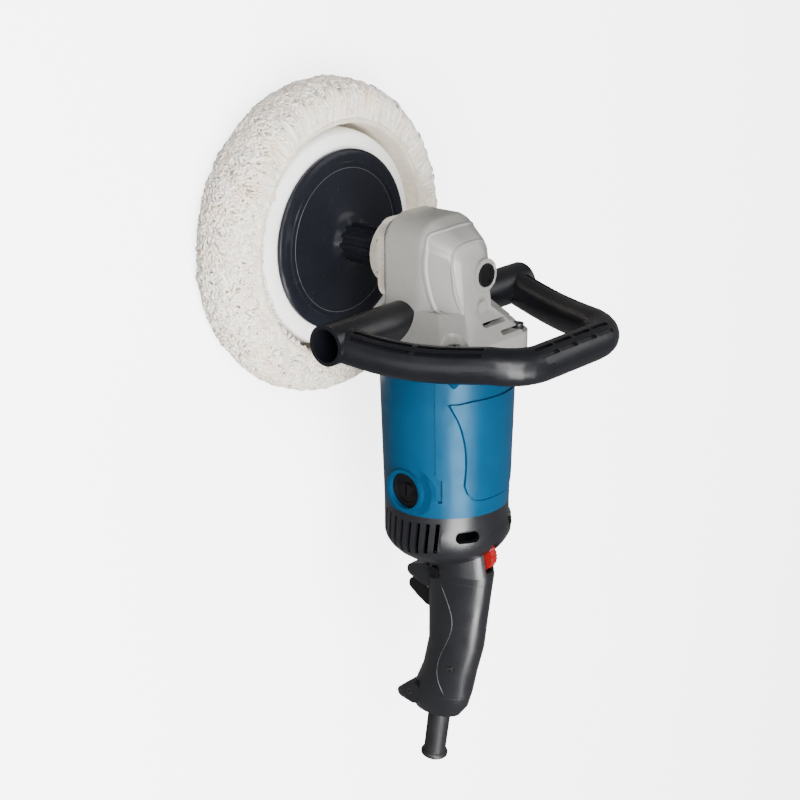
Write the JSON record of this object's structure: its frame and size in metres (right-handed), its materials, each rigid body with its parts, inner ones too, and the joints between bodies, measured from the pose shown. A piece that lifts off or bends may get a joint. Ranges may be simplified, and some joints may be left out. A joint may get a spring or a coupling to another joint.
{
  "type": "rotary polisher",
  "caption": "Hand-held electric rotary polisher with a wool pad, grey gear head, blue motor barrel, black loop handle, pistol handle with trigger and speed dial.",
  "frame": {"origin": "centre of the wool pad's working face", "axes": "+Z along the spindle away from the work, +X along the motor barrel from the gear head to the rear handle, Y across the loop handle"},
  "size_m": [0.517, 0.234, 0.2626],
  "materials": {
    "wool": "deep twisted wool pile, cream",
    "backing_fabric": "woven hook and loop cloth, beige",
    "foam": "dense white foam, matt",
    "black_plastic": "moulded black plastic, slightly glossy",
    "dark_grey_plastic": "moulded dark grey plastic, satin",
    "blue_plastic": "moulded deep blue plastic, satin",
    "red_plastic": "moulded red plastic",
    "rubber_black": "soft black rubber",
    "painted_casting": "die casting, painted light grey, satin",
    "bare_aluminium": "turned aluminium, bright",
    "steel": "ground steel",
    "dark_steel": "blackened and laminated steel",
    "gear_steel": "cut steel, oiled",
    "bronze": "sintered bronze",
    "copper": "enamelled copper wire and copper bars",
    "brass": "pressed brass",
    "carbon": "pressed carbon, matt",
    "felt": "grey felt",
    "circuit": "potted circuit board"
  },
  "bodies": {
    "housing": {"bearing_box": "bare_aluminium", "bearing_box_screws": "dark_steel", "felt_seal": "felt", "spindle_bearing": "steel", "upper_bush": "bronze", "gear_housing": "painted_casting", "lock_spring": "steel", "layshaft_bush": "bronze", "layshaft_bearing": "steel", "gear_plate": "bare_aluminium", "gearcase_screws": "dark_steel", "armature_front_bearing": "steel", "armature_rear_bearing": "steel", "fan_baffle": "black_plastic", "stator_core": "dark_steel", "field_coils": "copper", "stator_screws": "dark_steel", "motor_housing": "blue_plastic", "brush_holders": "brass", "carbon_brushes": "carbon", "brush_springs": "steel", "brush_caps": "black_plastic", "rear_body": "dark_grey_plastic", "handle_cover": "dark_grey_plastic", "handle_screws": "dark_steel", "switch_body": "black_plastic", "trigger_pin": "steel", "trigger_spring": "steel", "lock_on_spring": "steel", "speed_module": "circuit", "cord_clamp": "black_plastic", "clamp_screws": "steel", "cord_guard": "rubber_black", "loop_handle": "dark_grey_plastic", "loop_bolts": "steel", "loop_washers": "steel"},
    "spindle": {"wool_pile": "wool", "bonnet_backing": "backing_fabric", "foam_disc": "foam", "backing_plate": "black_plastic", "plate_insert": "steel", "spindle_shaft": "steel", "crown_gear": "gear_steel", "crown_retainer": "dark_steel"},
    "layshaft": {"layshaft": "steel", "layshaft_gear": "gear_steel", "bevel_pinion": "gear_steel"},
    "armature": {"armature_shaft": "steel", "armature_pinion": "gear_steel", "armature_core": "dark_steel", "armature_windings": "copper", "commutator": "copper", "fan": "black_plastic"},
    "spindle_lock": {"lock_button": "black_plastic", "lock_pin": "steel"},
    "trigger": {"trigger": "black_plastic"},
    "lock_on": {"lock_on_button": "black_plastic"},
    "dial": {"speed_dial": "red_plastic"}
  },
  "joints": [
    {"name": "spindle_spin", "type": "hinge", "parent": "housing", "child": "spindle", "pos_m": [0, 0, 0.1], "axis": [0, 0, 1], "continuous": true},
    {"name": "layshaft_spin", "type": "hinge", "parent": "housing", "child": "layshaft", "pos_m": [0.03, 0, 0.1584], "axis": [1, 0, 0], "continuous": true},
    {"name": "armature_spin", "type": "hinge", "parent": "housing", "child": "armature", "pos_m": [0.1, 0, 0.144], "axis": [1, 0, 0], "continuous": true},
    {"name": "spindle_lock_press", "type": "slide", "parent": "housing", "child": "spindle_lock", "axis": [0, 0, -1], "range_m": [0, 0.004], "stiffness_N_per_m": 900, "springref_m": -0.002, "deforming": ["lock_spring"]},
    {"name": "trigger_pull", "type": "hinge", "parent": "housing", "child": "trigger", "pos_m": [0.2525, 0, 0.133], "axis": [0, -1, 0], "range_deg": [0, 8], "stiffness_Nm_per_rad": 1.2, "springref_deg": -8.59, "deforming": ["trigger_spring"]},
    {"name": "lock_on_press", "type": "slide", "parent": "housing", "child": "lock_on", "axis": [0, 1, 0], "range_m": [0, 0.003], "stiffness_N_per_m": 500, "springref_m": -0.001, "deforming": ["lock_on_spring"]},
    {"name": "speed_dial_turn", "type": "hinge", "parent": "housing", "child": "dial", "pos_m": [0.216, 0, 0.1785], "axis": [0, 1, 0], "range_deg": [0, 270]}
  ],
  "couplings": [
    {"joint": "layshaft_spin", "follows": "spindle_spin", "ratio": 3},
    {"joint": "armature_spin", "follows": "spindle_spin", "ratio": -9}
  ]
}
